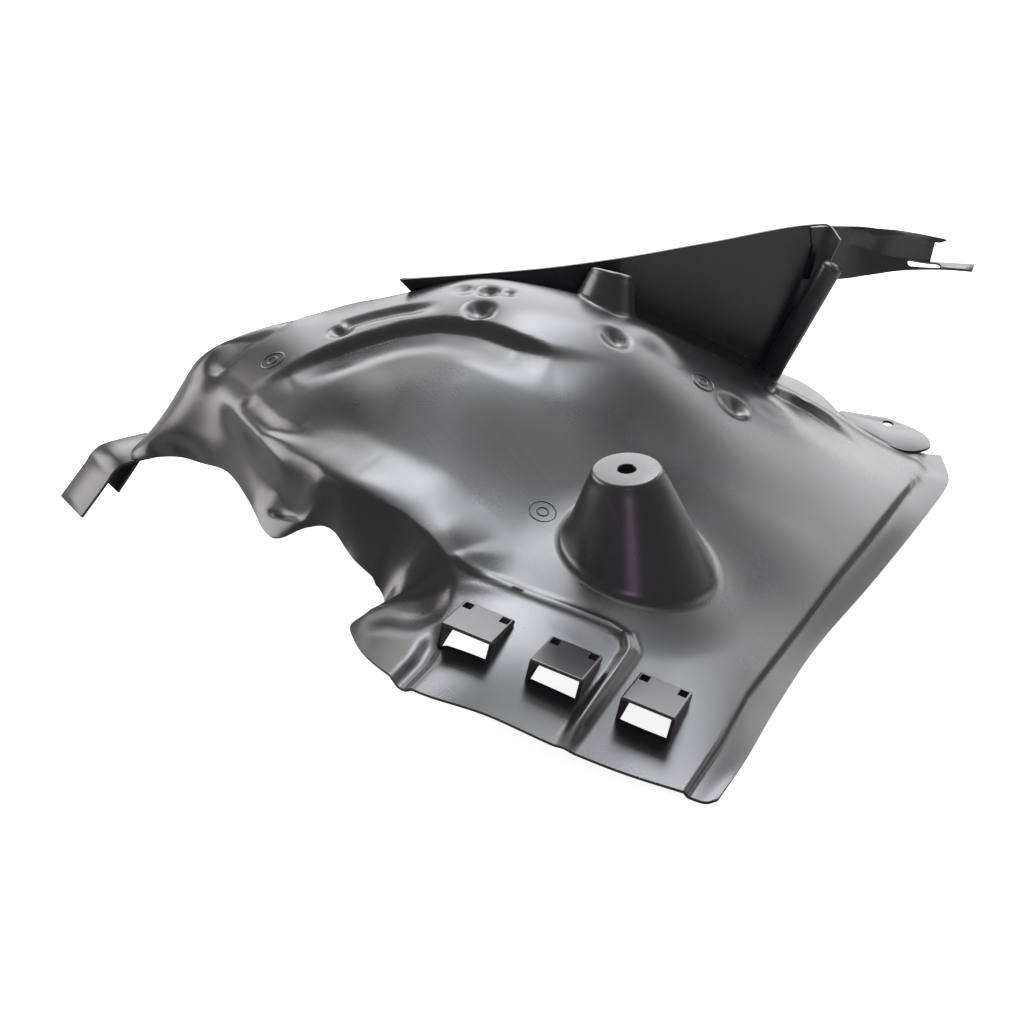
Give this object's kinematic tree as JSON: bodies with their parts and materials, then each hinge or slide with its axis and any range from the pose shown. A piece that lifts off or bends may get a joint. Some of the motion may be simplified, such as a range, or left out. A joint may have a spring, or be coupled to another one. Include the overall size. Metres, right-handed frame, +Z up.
{
  "type": "wheel arch liner",
  "caption": "Moulded plastic wheel arch liner with hollow conical standoffs, bridged clip slots, a ribbed back wall with an end bracket, a lapped edge and a hooked end clip.",
  "frame": {"origin": "centre of the front standoff's fixing hole, at the standoff's flat top", "axes": "+X to the right along the slotted front edge, +Y towards the back wall, +Z up from the surface that the liner lies on"},
  "size_m": [0.5556, 0.543, 0.1531],
  "materials": {
    "plastic": "satin black moulded polypropylene with a fine grain"
  },
  "bodies": {
    "root": {"liner": "plastic"}
  },
  "joints": []
}
